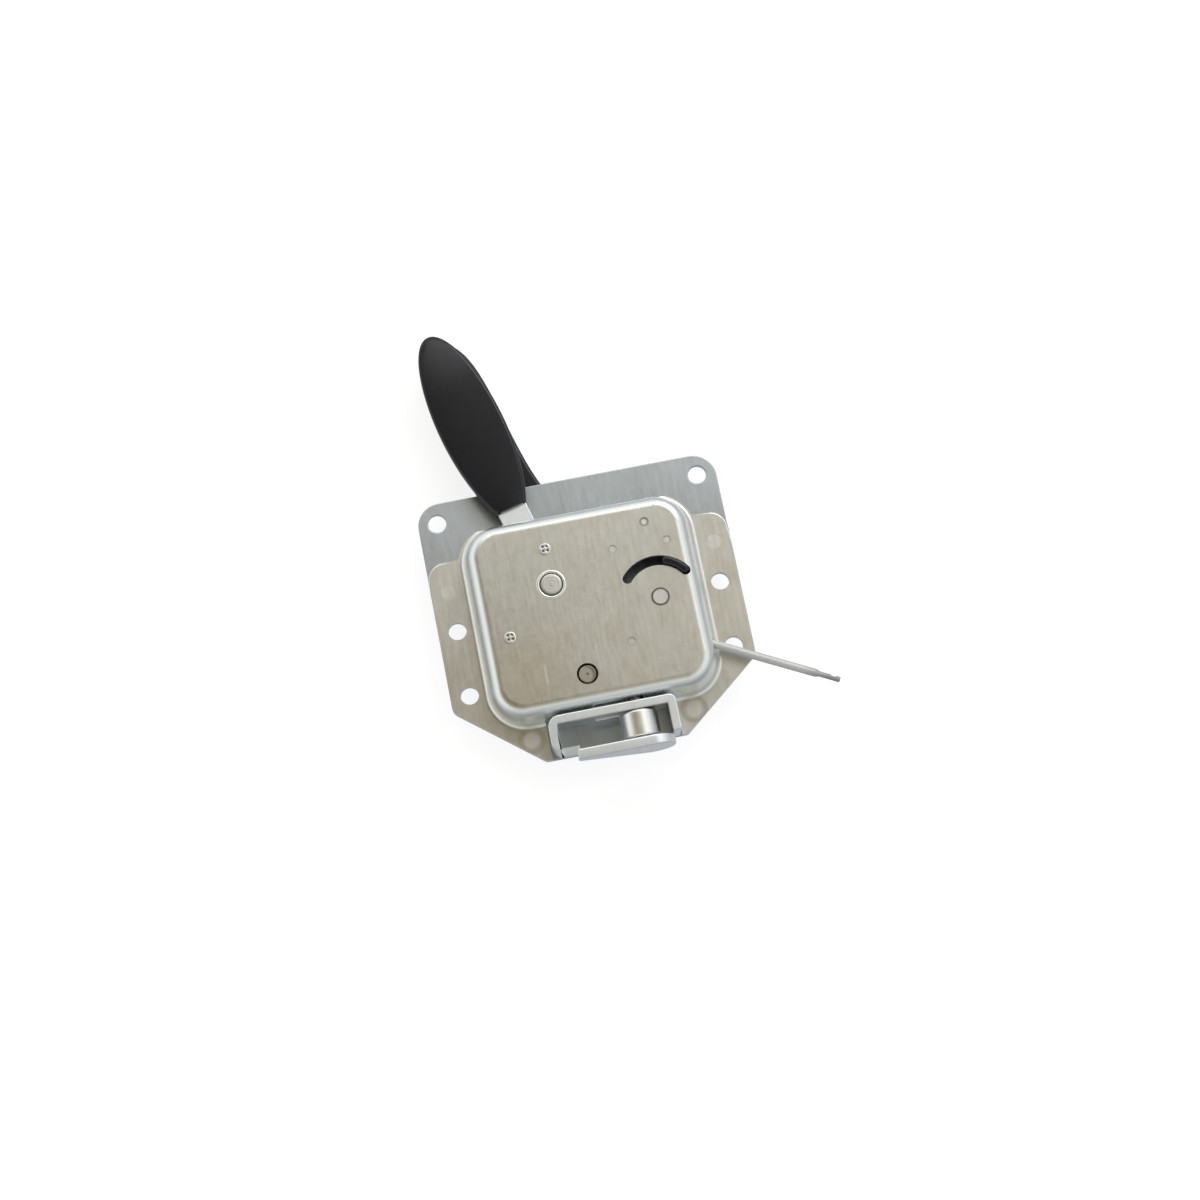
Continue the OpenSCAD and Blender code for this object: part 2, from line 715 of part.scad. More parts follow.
module rear_lever() {
    pivot = [pivot_x, pivot_y];
    color(bright) difference() {
        union() {
            translate([0, 0, rear_low]) linear_extrude(lever_t) {
                translate(pivot) circle(d = 2.4 * shaft_d);
                bar(pivot, rear_peg, peg_d + 4);
                shank();
            }
            translate([rear_peg[0], rear_peg[1], rear_top - cut])
                cylinder(d = peg_d, h = cut + handle_wire + plate_gap);
        }
        hole(pivot, shaft_d + 2 * fit_gap, rear_low, rear_top);
    }
}

module drive_pin() {
    color(steel) translate([drive_x, drive_y, carriage_z + 0.1])
        cylinder(d = drive_pin_d, h = lever_top + 0.3 - carriage_z - 0.1);
}

module shaft_clip() {
    clip_t = 0.9;
    color(spring_steel) at_handle() difference() {
        translate([0, 0, rear_low - clip_t - 0.1]) cylinder(d = shaft_d + 5, h = clip_t);
        translate([0, 0, rear_low - 3]) cylinder(d = shaft_d + 2 * fit_gap, h = 4);
        translate([-1.5, -shaft_d - 3, rear_low - 3]) cube([3, shaft_d + 3, 4]);
    }
}

// Two moulded leaves, each pushed over the end of its arm
module leaf(edges, z) {
    loft([for (k = [0 : leaf_steps]) leaf_ring(edges, leaf_tip * k / leaf_steps, z)]);
}

module handle_grip() {
    color(black) at_handle() difference() {
        union() {
            leaf(front_edges, front_leaf_z);
            leaf(rear_edges, rear_leaf_z);
        }
        for (z = [lever_z, rear_low])
            translate([-pocket_w / 2 - fit_gap, grip_start - cut, z - fit_gap])
                cube([pocket_w + 2 * fit_gap, pocket_l + cut, lever_t + 2 * fit_gap]);
    }
}

// Bolt

module bolt_carriage() {
    slot_top = drive_y + drive_slot_w / 2 + drive_play;
    slot_low = drive_low - drive_slot_w / 2 - drive_play;
    color(steel) difference() {
        union() {
            translate([carriage_left, ear_y, carriage_z])
                cube([carriage_step_x - carriage_left, carriage_top_y - ear_y, carriage_t]);
            translate([carriage_left, ear_y, carriage_z])
                cube([carriage_right - carriage_left, carriage_step_y - ear_y, carriage_t]);
            translate([roller_x - stem_d, ear_y, carriage_z])
                cube([2 * stem_d, ear_t, roller_axis_z + stem_d / 2 + 0.6 - carriage_z]);
            translate([spring_pin_x, spring_y, carriage_z])
                cylinder(d = spring_pin_d, h = bolt_spring_z + 2 - carriage_z);
        }
        translate([0, 0, carriage_z - cut]) linear_extrude(carriage_t + 2 * cut)
            bar([stud_2_x, stud_y], [stud_x + bolt_travel, stud_y], stud_slot_w);
        translate([drive_x - drive_slot_w / 2, slot_low, carriage_z - cut])
            cube([drive_slot_w, slot_top - slot_low, carriage_t + 2 * cut]);
        translate([roller_x, ear_y - cut, roller_axis_z]) rotate([-90, 0, 0])
            cylinder(d = stem_d + 2 * fit_gap, h = ear_t + 2 * cut);
    }
}

module along_bolt(y) {
    translate([roller_x, y, roller_axis_z]) rotate([-90, 0, 0]) children();
}

module bolt_stem() {
    color(steel) {
        along_bolt(tongue_y - tongue_t) cylinder(d = stem_d, h = ear_y + ear_t - tongue_y + tongue_t);
        along_bolt(ear_y + ear_t) cylinder(d = stem_head_d, h = stem_head_l);
    }
}

// Nose of the bolt: straight on top, tapered below and round at its right end
module bolt_tongue() {
    far_x = -tongue_reach - tongue_lead;
    far_low = [far_x, tongue_end_h - tongue_r];
    touch = 180 + atan2(-far_low[1], -far_low[0]) - acos(tongue_r / norm(far_low));
    color(bright) along_bolt(tongue_y - tongue_t) difference() {
        translate([tongue_lead, 0, 0]) linear_extrude(tongue_t)
            polygon(concat(arc([0, 0], tongue_r, -90, touch, 2 * cap_steps), [far_low, [far_x, -tongue_r]]));
        translate([0, 0, -cut]) cylinder(d = stem_d + 2 * fit_gap, h = tongue_t + 2 * cut);
    }
}

module bolt_roller() {
    edge = 0.6;
    bore_r = stem_d / 2 + run_gap;
    color(bright) along_bolt(roller_end) rotate_extrude() polygon([
        [bore_r, 0], [roller_d / 2 - edge, 0], [roller_d / 2, edge],
        [roller_d / 2, roller_l - edge], [roller_d / 2 - edge, roller_l], [bore_r, roller_l]]);
}

// Lock

module lock_lever() {
    tab_at = slot_r * [cos(tab_angle), sin(tab_angle)];
    arm_dir = [cos(rod_arm_angle), sin(rod_arm_angle)];
    color(dark_steel) difference() {
        union() {
            at_lock() translate([0, 0, lock_z]) linear_extrude(lock_t) {
                circle(d = lock_hub_d);
                bar([0, 0], tab_at, lock_arm_w);
                bar([0, 0], (rod_arm_r + 2) * arm_dir, rod_slot_w + 5);
            }
            translate([lock_peg[0], lock_peg[1], lock_spring_top - lock_wire / 2])
                cylinder(d = peg_d, h = lock_z + cut - lock_spring_top + lock_wire / 2);
        }
        at_lock() translate([0, 0, lock_z - cut]) {
            cylinder(d = lock_pin_d + 2 * run_gap, h = lock_t + 2 * cut);
            linear_extrude(lock_t + 2 * cut)
                bar((rod_offset - 0.5) * arm_dir, (rod_arm_r + 0.5) * arm_dir, rod_slot_w);
        }
    }
}

module lock_tab() {
    color(black) at_lock() translate([0, 0, lock_top]) linear_extrude(face_z + tab_h - lock_top)
        curved_bar(slot_r, tab_w, tab_angle - tab_span / 2, tab_span);
}

module along_rod(s) {
    at = rod_start + s * rod_dir;
    translate([at[0], at[1], rod_axis_z]) rotate([0, 90, -rod_angle]) children();
}

module lock_rod() {
    tip_r = rod_d / 3;
    tip_cone = 1.5;
    body_from = rod_eye_r - 1;
    tip_from = rod_l - rod_tip_l;
    color(bright) difference() {
        union() {
            translate([rod_start[0], rod_start[1], rod_axis_z - rod_eye_t / 2])
                cylinder(r = rod_eye_r, h = rod_eye_t);
            along_rod(0) rotate_extrude() polygon([
                [0, body_from], [rod_d / 2, body_from], [rod_d / 2, tip_from],
                [tip_r, tip_from + tip_cone], [tip_r, rod_l], [0, rod_l]]);
        }
        hole(rod_start, rod_pin_d + 2 * fit_gap, 0, face_z);
        along_rod(rod_l - 3.4) translate([-rod_d, tip_r / 2, 0]) cube([2 * rod_d, rod_d, 1.6]);
    }
}

module rod_pin() {
    low = rod_axis_z - rod_eye_t / 2;
    color(steel) translate([rod_start[0], rod_start[1], low])
        cylinder(d = rod_pin_d, h = lock_top + plate_gap - low);
}

// Springs

coil_steps = 14;

module bolt_spring() {
    ring_r = max(spring_pin_d, peg_d) / 2 + bolt_wire / 2 + 0.15;
    from = spring_pin_x + ring_r;
    span = spring_post_x - ring_r - from;
    r = bolt_coil_d / 2 - bolt_wire / 2;
    steps = floor(span / bolt_pitch) * coil_steps;
    coil = [for (i = [0 : steps])
        let (a = 360 * i / coil_steps)
        [from + span * i / steps, spring_y + r * cos(a), bolt_spring_z + r * sin(a)]];
    color(spring_steel) {
        wire(coil, bolt_wire, [1, 0, 0]);
        for (x = [spring_pin_x, spring_post_x]) translate([x, spring_y, bolt_spring_z])
            difference() {
                cylinder(r = ring_r + bolt_wire / 2, h = bolt_wire, center = true);
                cylinder(r = ring_r - bolt_wire / 2, h = 2 * bolt_wire, center = true);
            }
        for (end = [[spring_pin_x, ring_r], [spring_post_x, -ring_r]])
            translate([end[0] + end[1], spring_y + r / 2, bolt_spring_z])
                cube([bolt_wire, r + bolt_wire, bolt_wire], center = true);
    }
}

// Torsion spring about a pivot: a helix with a straight leg at each end
function torsion_path(r, turns, low, high, leg) =
    let (steps = turns * coil_steps)
    let (coil = [for (i = [0 : steps])
        let (a = 90 + 360 * i / coil_steps)
        [r * cos(a), r * sin(a), low + (high - low) * i / steps]])
    let (out = 360 * turns)
    concat([[leg, r, low]], coil, [coil[steps] + leg * [-sin(90 + out), cos(90 + out), 0]]);

module handle_spring() {
    low = rear_top + handle_wire / 2 + 0.15;
    high = -handle_wire / 2 - 0.15;
    color(spring_steel) at_pivot()
        wire(torsion_path(handle_coil_r, handle_turns, high, low, handle_leg), handle_wire, [0, 0, 1]);
}

// Over-centre wire spring from the lever's peg round a coil to the fixed post
module lock_spring() {
    reach = peg_d / 2 + lock_wire / 2 + peg_touch;
    in_dir = unit(lock_coil_at - lock_peg);
    out_dir = unit(lock_anchor - lock_coil_at);
    from = atan2(in_dir[1], in_dir[0]) - 90;
    sweep = turn(atan2(out_dir[1], out_dir[0]) - 90 - from) + 360;
    steps = 24;
    drop = 1.3 * lock_wire;
    coil = [for (i = [0 : steps])
        let (a = from + sweep * i / steps, at = lock_coil_at + lock_coil_r * [cos(a), sin(a)])
        [at[0], at[1], lock_spring_top - drop * i / steps]];
    first = lock_peg + reach * in_dir + lock_coil_r * [cos(from), sin(from)] * 0.2;
    last = lock_anchor - reach * out_dir;
    path = concat([[first[0], first[1], lock_spring_top]], coil,
        [[last[0], last[1], lock_spring_top - drop]]);
    color(spring_steel) wire(path, lock_wire, [0, 0, 1]);
}

back_plate();
cover_pan();
bolt_bracket();
plate_rivets();
stake_rivets();
shaft_bush_front();
shaft_bush_rear();
guide_studs();
spring_posts();
lock_pin();
lock_washer();
handle_shaft();
handle_lever();
rear_lever();
drive_pin();
shaft_clip();
handle_grip();
bolt_carriage();
bolt_stem();
bolt_tongue();
bolt_roller();
lock_lever();
lock_tab();
lock_rod();
rod_pin();
bolt_spring();
handle_spring();
lock_spring();
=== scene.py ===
"""Looks of the door latch: zinc-plated pressings, a glossy black two-leaf handle and soft studio light."""

import json
import math

import bpy
from mathutils import Matrix, Vector

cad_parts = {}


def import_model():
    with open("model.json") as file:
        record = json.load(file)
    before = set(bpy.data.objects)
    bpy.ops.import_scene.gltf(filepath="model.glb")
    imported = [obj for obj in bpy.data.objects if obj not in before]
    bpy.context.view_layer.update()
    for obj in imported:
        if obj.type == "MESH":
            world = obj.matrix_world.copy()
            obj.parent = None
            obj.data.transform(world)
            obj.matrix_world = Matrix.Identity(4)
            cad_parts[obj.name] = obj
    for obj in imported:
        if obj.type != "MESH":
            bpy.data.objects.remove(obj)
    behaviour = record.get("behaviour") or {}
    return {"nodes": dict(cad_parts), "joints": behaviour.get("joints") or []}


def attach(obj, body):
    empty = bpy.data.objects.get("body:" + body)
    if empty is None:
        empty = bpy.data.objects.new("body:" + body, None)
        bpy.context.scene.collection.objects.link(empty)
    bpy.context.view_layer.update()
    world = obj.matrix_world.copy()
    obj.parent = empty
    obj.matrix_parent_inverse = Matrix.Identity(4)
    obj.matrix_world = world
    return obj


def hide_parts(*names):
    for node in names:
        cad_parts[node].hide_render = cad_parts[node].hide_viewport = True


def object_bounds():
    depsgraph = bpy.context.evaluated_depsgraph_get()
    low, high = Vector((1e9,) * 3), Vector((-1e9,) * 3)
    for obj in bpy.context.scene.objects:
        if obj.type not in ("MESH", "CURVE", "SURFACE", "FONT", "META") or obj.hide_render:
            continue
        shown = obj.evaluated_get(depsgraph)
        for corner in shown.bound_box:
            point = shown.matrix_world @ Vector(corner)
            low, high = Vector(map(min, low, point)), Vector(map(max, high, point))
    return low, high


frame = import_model()
CAD_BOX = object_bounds()
NODES = frame["nodes"]
JOINTS = {joint["name"]: joint for joint in frame["joints"]}
MM = 0.001
PIVOT = Vector(JOINTS["handle_swing"]["pos_m"]) / MM
LOCK_PIN = Vector(JOINTS["lock_swing"]["pos_m"]) / MM
RANGE_KEYS = ("From Min", "From Max", "To Min", "To Max")


def add_object(name, data):
    obj = bpy.data.objects.new(name, data)
    bpy.context.collection.objects.link(obj)
    return obj


def aim(obj, direction):
    """Turns a camera or a light to look along a direction."""
    obj.rotation_mode = "QUATERNION"
    obj.rotation_quaternion = direction.to_track_quat("-Z", "Y")


# Camera: the photograph's viewing angle, and the width that its square frame takes in
AZIMUTH = -11.2
ELEVATION = 76.0
LOOK_AT = Vector((4.4, -6.3, 0.0)) * MM
FRAME_WIDTH = 432 * MM
DISTANCE = 0.95
SENSOR = 36.0
CLIP_NEAR = 0.01
CLIP_FAR = 20.0


def camera():
    a = math.radians(AZIMUTH)
    e = math.radians(ELEVATION)
    back = Vector((math.sin(a) * math.cos(e), -math.cos(a) * math.cos(e), math.sin(e)))
    data = bpy.data.cameras.new("camera")
    data.sensor_width = SENSOR
    data.lens = SENSOR * DISTANCE / FRAME_WIDTH
    data.clip_start = CLIP_NEAR
    data.clip_end = CLIP_FAR
    obj = add_object("camera", data)
    obj.location = LOOK_AT + back * DISTANCE
    aim(obj, -back)
    bpy.context.scene.camera = obj


# Light: a tent with pale walls and a warmer, darker ceiling that brightens to the right, and two soft
# boxes. Each stop is the height of a direction, leaned to the left, with the light that comes from there.
# The front of the tent, where the camera stands, is darker.
TENT = (
    (-1.0, (0.55, 0.56, 0.59)),
    (-0.1, (0.42, 0.43, 0.44)),
    (0.12, (0.75, 0.78, 0.79)),
    (0.45, (0.84, 0.88, 0.89)),
    (0.70, (1.12, 1.16, 1.15)),
    (0.86, (0.58, 0.565, 0.50)),
    (0.94, (0.31, 0.275, 0.20)),
    (1.0, (0.20, 0.175, 0.125)),
)
TENT_LEAN = (-0.32, 0.0, 1.0)
FRONT_FROM = -0.25
FRONT_TO = -0.9
FRONT_SHARE = 0.6
# Each soft box: its place and width in metres, and its power in watts
KEY_BOX = ((0.45, 0.65, 0.75), 0.5, 2.0)
BACK_BOX = ((-0.06, 0.63, 0.84), 0.44, 0.6)


def world():
    made = bpy.data.worlds.new("studio")
    made.use_nodes = True
    tree = made.node_tree
    tree.nodes.clear()
    out = tree.nodes.new("ShaderNodeOutputWorld")
    back = tree.nodes.new("ShaderNodeBackground")
    coord = tree.nodes.new("ShaderNodeTexCoord")
    height = tree.nodes.new("ShaderNodeVectorMath")
    height.operation = "DOT_PRODUCT"
    height.inputs[1].default_value = TENT_LEAN
    ramp = tree.nodes.new("ShaderNodeValToRGB")
    stops = ramp.color_ramp.elements
    while len(stops) < len(TENT):
        stops.new(1.0)
    for stop, (at, light) in zip(stops, TENT):
        stop.position = (at + 1) / 2
        stop.color = (*light, 1)
    share = tree.nodes.new("ShaderNodeMapRange")
    share.inputs["From Min"].default_value = -1.0
    tree.links.new(coord.outputs["Generated"], height.inputs[0])
    tree.links.new(height.outputs["Value"], share.inputs["Value"])
    tree.links.new(share.outputs[0], ramp.inputs["Fac"])
    split = tree.nodes.new("ShaderNodeSeparateXYZ")
    front = tree.nodes.new("ShaderNodeMapRange")
    for key, number in zip(RANGE_KEYS, (FRONT_TO, FRONT_FROM, FRONT_SHARE, 1.0)):
        front.inputs[key].default_value = number
    tree.links.new(coord.outputs["Generated"], split.inputs[0])
    tree.links.new(split.outputs["Y"], front.inputs["Value"])
    tree.links.new(front.outputs[0], back.inputs["Strength"])
    tree.links.new(ramp.outputs["Color"], back.inputs["Color"])
    tree.links.new(back.outputs[0], out.inputs[0])
    bpy.context.scene.world = made


def soft_box(name, at, size, power):
    data = bpy.data.lights.new(name, "AREA")
    data.shape = "DISK"
    data.size = size
    data.energy = power
    obj = add_object(name, data)
    obj.location = at
    aim(obj, LOOK_AT - Vector(at))


FLOOR_HALF = 3.0
FLOOR_GLOW = 0.8
FLOOR_TONE = 0.35
FLOOR_ROUGH = 0.9


def floor():
    """White paper that glows like a light table, so that holes stay white. The metal doesn't mirror it."""
    data = bpy.data.meshes.new("floor")
    z = CAD_BOX[0].z
    corners = [(x * FLOOR_HALF, y * FLOOR_HALF, z) for x, y in ((-1, -1), (1, -1), (1, 1), (-1, 1))]
    data.from_pydata(corners, [], [(0, 1, 2, 3)])
    obj = add_object("floor", data)
    mat = bpy.data.materials.new("paper")
    mat.use_nodes = True
    shader = mat.node_tree.nodes["Principled BSDF"]
    shader.inputs["Base Color"].default_value = (FLOOR_TONE, FLOOR_TONE, FLOOR_TONE, 1)
    shader.inputs["Roughness"].default_value = FLOOR_ROUGH
    shader.inputs["Emission Color"].default_value = (1, 1, 1, 1)
    shader.inputs["Emission Strength"].default_value = FLOOR_GLOW
    data.materials.append(mat)
    obj.visible_glossy = False


# Materials. Places on the part are in millimetres, noise scales are per metre.

ALONG_X = (1, 0, 0)
ALONG_Y = (0, 1, 0)
ALONG_Z = (0, 0, 1)
STROKE_FULL = 0.6


class Paint:
    """A node material with one Principled shader and short calls for its nodes."""

    def __init__(self, name):
        self.material = bpy.data.materials.new(name)
        self.material.use_nodes = True
        self.tree = self.material.node_tree
        self.shader = self.tree.nodes["Principled BSDF"]
        self.place = self.add("ShaderNodeTexCoord").outputs["Object"]

    def add(self, kind, **settings):
        node = self.tree.nodes.new(kind)
        for key, value in settings.items():
            setattr(node, key, value)
        return node

    def link(self, source, target):
        self.tree.links.new(source, target)

    def feed(self, target, value):
        if isinstance(value, bpy.types.NodeSocket):
            self.link(value, target)
        else:
            target.default_value = value

    def noise(self, scale, detail=3.0, rough=0.55, stretch=(1, 1, 1)):
        mapping = self.add("ShaderNodeMapping")
        mapping.inputs["Scale"].default_value = stretch
        self.link(self.place, mapping.inputs["Vector"])
        node = self.add("ShaderNodeTexNoise")
        node.inputs["Scale"].default_value = scale
        node.inputs["Detail"].default_value = detail
        node.inputs["Roughness"].default_value = rough
        self.link(mapping.outputs[0], node.inputs["Vector"])
        return node.outputs["Fac"]

    def range(self, value, low, high, to_low, to_high):
        node = self.add("ShaderNodeMapRange")
        self.link(value, node.inputs["Value"])
        for key, number in zip(RANGE_KEYS, (low, high, to_low, to_high)):
            node.inputs[key].default_value = number
        return node.outputs[0]

    def math(self, how, a, b):
        node = self.add("ShaderNodeMath", operation=how)
        self.feed(node.inputs[0], a)
        self.feed(node.inputs[1], b)
        return node.outputs[0]

    def mix(self, share, a, b):
        node = self.add("ShaderNodeMix", data_type="RGBA")
        self.feed(node.inputs["Factor"], share)
        self.feed(node.inputs[6], a)
        self.feed(node.inputs[7], b)
        return node.outputs[2]

    def bump(self, height, strength, depth):
        node = self.add("ShaderNodeBump")
        node.inputs["Strength"].default_value = strength
        node.inputs["Distance"].default_value = depth
        self.link(height, node.inputs["Height"])
        self.link(node.outputs[0], self.shader.inputs["Normal"])

    def distance(self, at, axes=(1, 1, 0)):
        """Distance from a place in millimetres, measured only along the axes that count."""
        away = self.add("ShaderNodeVectorMath", operation="SUBTRACT")
        self.link(self.place, away.inputs[0])
        away.inputs[1].default_value = Vector(at) * MM
        kept = self.add("ShaderNodeVectorMath", operation="MULTIPLY")
        self.link(away.outputs[0], kept.inputs[0])
        kept.inputs[1].default_value = axes
        size = self.add("ShaderNodeVectorMath", operation="LENGTH")
        self.link(kept.outputs[0], size.inputs[0])
        return self.math("DIVIDE", size.outputs["Value"], MM)

    def near(self, at, axes, reach, soft):
        """One within reach of a place along the given axes, falling to nothing just outside it."""
        return self.range(self.distance(at, axes), reach, reach + soft, 1.0, 0.0)

    def ring(self, at, r, width):
        """One on a circle about a place, falling to nothing at the given half width."""
        off = self.math("ABSOLUTE", self.math("SUBTRACT", self.distance(at), r), 0.0)
        return self.range(off, 0.0, width, 1.0, 0.0)

    def spot(self, at, r, soft):
        """One inside a circle about a place, falling to nothing just outside it."""
        return self.range(self.distance(at), r, r + soft, 1.0, 0.0)

    def patch(self, low, high, soft):
        """One inside an upright rectangle of the face, falling to nothing just outside it."""
        middle = (Vector(low) + Vector(high)) / 2
        half = (Vector(high) - Vector(low)) / 2
        wide = self.near(middle, ALONG_X, half.x, soft)
        tall = self.near(middle, ALONG_Y, half.y, soft)
        return self.math("MULTIPLY", wide, tall)

    def stroke(self, low, high, width):
        """One on an upright line between two places of the face, falling to nothing beside it."""
        middle = (Vector(low) + Vector(high)) / 2
        half = (high[1] - low[1]) / 2
        beside = self.range(self.distance(middle, ALONG_X), 0.0, width, 1.0, 0.0)
        along = self.range(self.distance(middle, ALONG_Y), STROKE_FULL * half, half, 1.0, 0.0)
        return self.math("MULTIPLY", beside, along)


# Zinc plate: its three noises, the span of each noise that is used, and the spread of its roughness
CLOUDS = {"scale": 22, "detail": 3}
GRAIN = {"scale": 900, "detail": 2, "rough": 0.6, "stretch": (1.0, 0.12, 1.0)}
SPANGLE = {"scale": 420, "detail": 4, "rough": 0.7}
CLOUD_SPAN = (0.35, 0.65)
FINE_SPAN = (0.3, 0.7)
SPANGLE_SHARE = 0.3
SMOOTHER, ROUGHER = 0.04, 0.06
PLATE_BUMP, PLATE_BUMP_DEPTH = 0.08, 0.06 * MM


class Plated(Paint):
    """Zinc plate: clouds of two tones, fine spangle and a faint brushed grain along Y."""

    def __init__(self, name, light, dark, rough, brush=0.0):
        super().__init__(name)
        clouds = self.noise(**CLOUDS)
        grain = self.noise(**GRAIN)
        spangle = self.noise(**SPANGLE)
        tone = self.mix(self.range(clouds, *CLOUD_SPAN, 0, 1), (*dark, 1), (*light, 1))
        tone = self.mix(self.range(spangle, *FINE_SPAN, 0.0, SPANGLE_SHARE), tone, (*dark, 1))
        self.tone = self.mix(self.range(grain, *FINE_SPAN, 0.0, brush), tone, (*light, 1))
        self.shader.inputs["Metallic"].default_value = 1.0
        uneven = self.math("ADD", self.math("MULTIPLY", grain, 0.5), self.math("MULTIPLY", spangle, 0.5))
        self.rough = self.range(uneven, *FINE_SPAN, rough - SMOOTHER, rough + ROUGHER)
        self.bump(uneven, PLATE_BUMP, PLATE_BUMP_DEPTH)

    def mark(self, share, strength, colour):
        self.tone = self.mix(self.math("MULTIPLY", share, strength), self.tone, (*colour, 1))

    def ring_mark(self, at, size, colour):
        r, width, strength = size
        self.mark(self.ring(at, r, width), strength, colour)

    def spot_mark(self, at, size, colour):
        r, soft, strength = size
        self.mark(self.spot(at, r, soft), strength, colour)

    def patch_mark(self, corners, size, colour):
        soft, strength = size
        self.mark(self.patch(*corners, soft), strength, colour)

    def done(self):
        self.link(self.tone, self.shader.inputs["Base Color"])
        self.link(self.rough, self.shader.inputs["Roughness"])
        return self.material


STAIN = (0.42, 0.35, 0.24)
BROWN_TONE = (0.62, 0.55, 0.43)
SHADE = (0.10, 0.09, 0.08)
WIRE = (0.70, 0.70, 0.69)
DARKER_TIP = (0.36, 0.36, 0.36)
# Painted sheen: the lighter, bluer tone of the cover's walls.
WALL_SHEEN = (0.90, 0.925, 0.92)
BRIGHT = (0.97, 0.97, 0.96)

# Marks: a ring has a radius, a half width and a strength, a spot a radius, a soft edge and a strength,
# and a patch a soft edge and a strength.
RUST_CLOUDS = {"scale": 30, "detail": 5, "rough": 0.65}
RUST_SPAN = (0.42, 0.75)
RUST_SHARE = 0.45
LOW_CORNER = (-30.0, -36.0, 0)
LOW_CORNER_SPOT = (4.0, 30.0, 0.5)
WALL_MIDDLE = (0, 0, 9.6)
WALL_HALF, WALL_SOFT, WALL_SHARE = 5.5, 0.45, 0.9
LOW_RIVETS = ((29.3, -52.7, 0), (-29.3, -52.7, 0))
RIVET_RING = (4.2, 1.5, 0.5)
LOCK_HOLE_RING = (3.05, 0.5, 0.9)
FIRST_DIMPLE = (24.6, 15.1, 0)
FIRST_DIMPLE_RING = (1.35, 0.6, 0.6)
FIRST_DIMPLE_GLINT = (0.5, 0.3, 0.9)
FAINT_DIMPLES = ((31.2, 7.0, 0), (11.6, 7.3, 0), (11.7, -27.0, 0))
FAINT_DIMPLE_RING = (1.35, 0.6, 0.22)
SCRATCHES = (((-20.3, -37.5, 0), (-19.9, -28.0, 0)), ((-1.0, -35.7, 0), (-0.8, -24.2, 0)))
SCRATCH_W, SCRATCH_SHARE = 0.5, 0.75


def cover_paint(name, light, dark, rough, brush):
    """The cover's plate with rust clouds and stains, browner and darker towards the lower-left corner, a
    painted sheen on its walls, painted shade in the joint round the lock pin, painted shade rings and a
    painted highlight on the small dimples, and two long scratches.
    """
    paint = Plated(name, light, dark, rough, brush)
    paint.mark(paint.range(paint.noise(**RUST_CLOUDS), *RUST_SPAN, 0, 1), RUST_SHARE, BROWN_TONE)
    # Browner and darker towards the lower-left corner.
    paint.spot_mark(LOW_CORNER, LOW_CORNER_SPOT, BROWN_TONE)
    # Painted sheen: the cover's walls are painted lighter and bluer.
    paint.mark(paint.near(WALL_MIDDLE, ALONG_Z, WALL_HALF, WALL_SOFT), WALL_SHARE, WALL_SHEEN)
    for at in LOW_RIVETS:
        paint.ring_mark(at, RIVET_RING, STAIN)
    # Painted shade in the joint round the lock pin.
    paint.ring_mark(LOCK_PIN, LOCK_HOLE_RING, SHADE)
    # Painted shade rings round the dimples, and a painted highlight on the first one.
    paint.ring_mark(FIRST_DIMPLE, FIRST_DIMPLE_RING, SHADE)
    for at in FAINT_DIMPLES:
        paint.ring_mark(at, FAINT_DIMPLE_RING, SHADE)
    paint.spot_mark(FIRST_DIMPLE, FIRST_DIMPLE_GLINT, BRIGHT)
    for low, high in SCRATCHES:
        paint.mark(paint.stroke(low, high, SCRATCH_W), SCRATCH_SHARE, BRIGHT)
    return paint.done()


ROD_REACH = ((30.0, -70.0, 0), (130.0, -10.0, 0))
ROD_SOFT, ROD_SHARE = 1.0, 0.95
ROD_TIP = (81.9, -53.1, 0)
ROD_TIP_SPOT = (4.0, 10.0, 0.8)
WIRE_ROUGH = 0.65
BRACKET_WALLS = (
    ((-19.6, -52.0, 0), (19.6, -50.8, 0)),
    ((19.5, -60.9, 0), (19.9, -50.8, 0)),
)
BRACKET_WALL_PATCH = (0.3, 0.35)


def bright_paint(name, light, dark, rough, brush):
    """Bright zinc of the bracket, with painted shade on its inner walls, the tongue and the levers. The rod
    is dull drawn wire, darker towards its tip.
    """
    paint = Plated(name, light, dark, rough, brush)
    rod = paint.patch(*ROD_REACH, ROD_SOFT)
    paint.mark(rod, ROD_SHARE, WIRE)
    # The rod is darker towards its tip.
    paint.spot_mark(ROD_TIP, ROD_TIP_SPOT, DARKER_TIP)
    paint.rough = paint.math("MAXIMUM", paint.rough, paint.math("MULTIPLY", rod, WIRE_ROUGH))
    # Painted shade on the bracket's inner walls.
    for wall in BRACKET_WALLS:
        paint.patch_mark(wall, BRACKET_WALL_PATCH, SHADE)
    return paint.done()


SHAFT_RING = (3.85, 0.5, 0.9)
LOCK_PIN_RING = (2.85, 0.5, 0.85)
STUD = Vector((-5.8, -35.4, 0))
STUD_STAIN = (3.4, 0.3, 0.6)
STUD_R, STUD_SOFT = 3.6, 0.2
STUD_CENTRE = (0.3, 0.3, 0.8)
LIT_SIDE = Vector((-1.3, -0.4, 0))
STUD_SHADOW = (2.7, 3.5)
STUD_SHADOW_SHARE = 0.6
STAKES = ((-12.0, 12.0), (-30.1, -17.4))
PUNCH_AT = 0.78
PUNCHES = [(u, v) for u in (-PUNCH_AT, PUNCH_AT) for v in (-PUNCH_AT, PUNCH_AT)]
PUNCH_SPOT = (0.3, 0.35, 0.9)


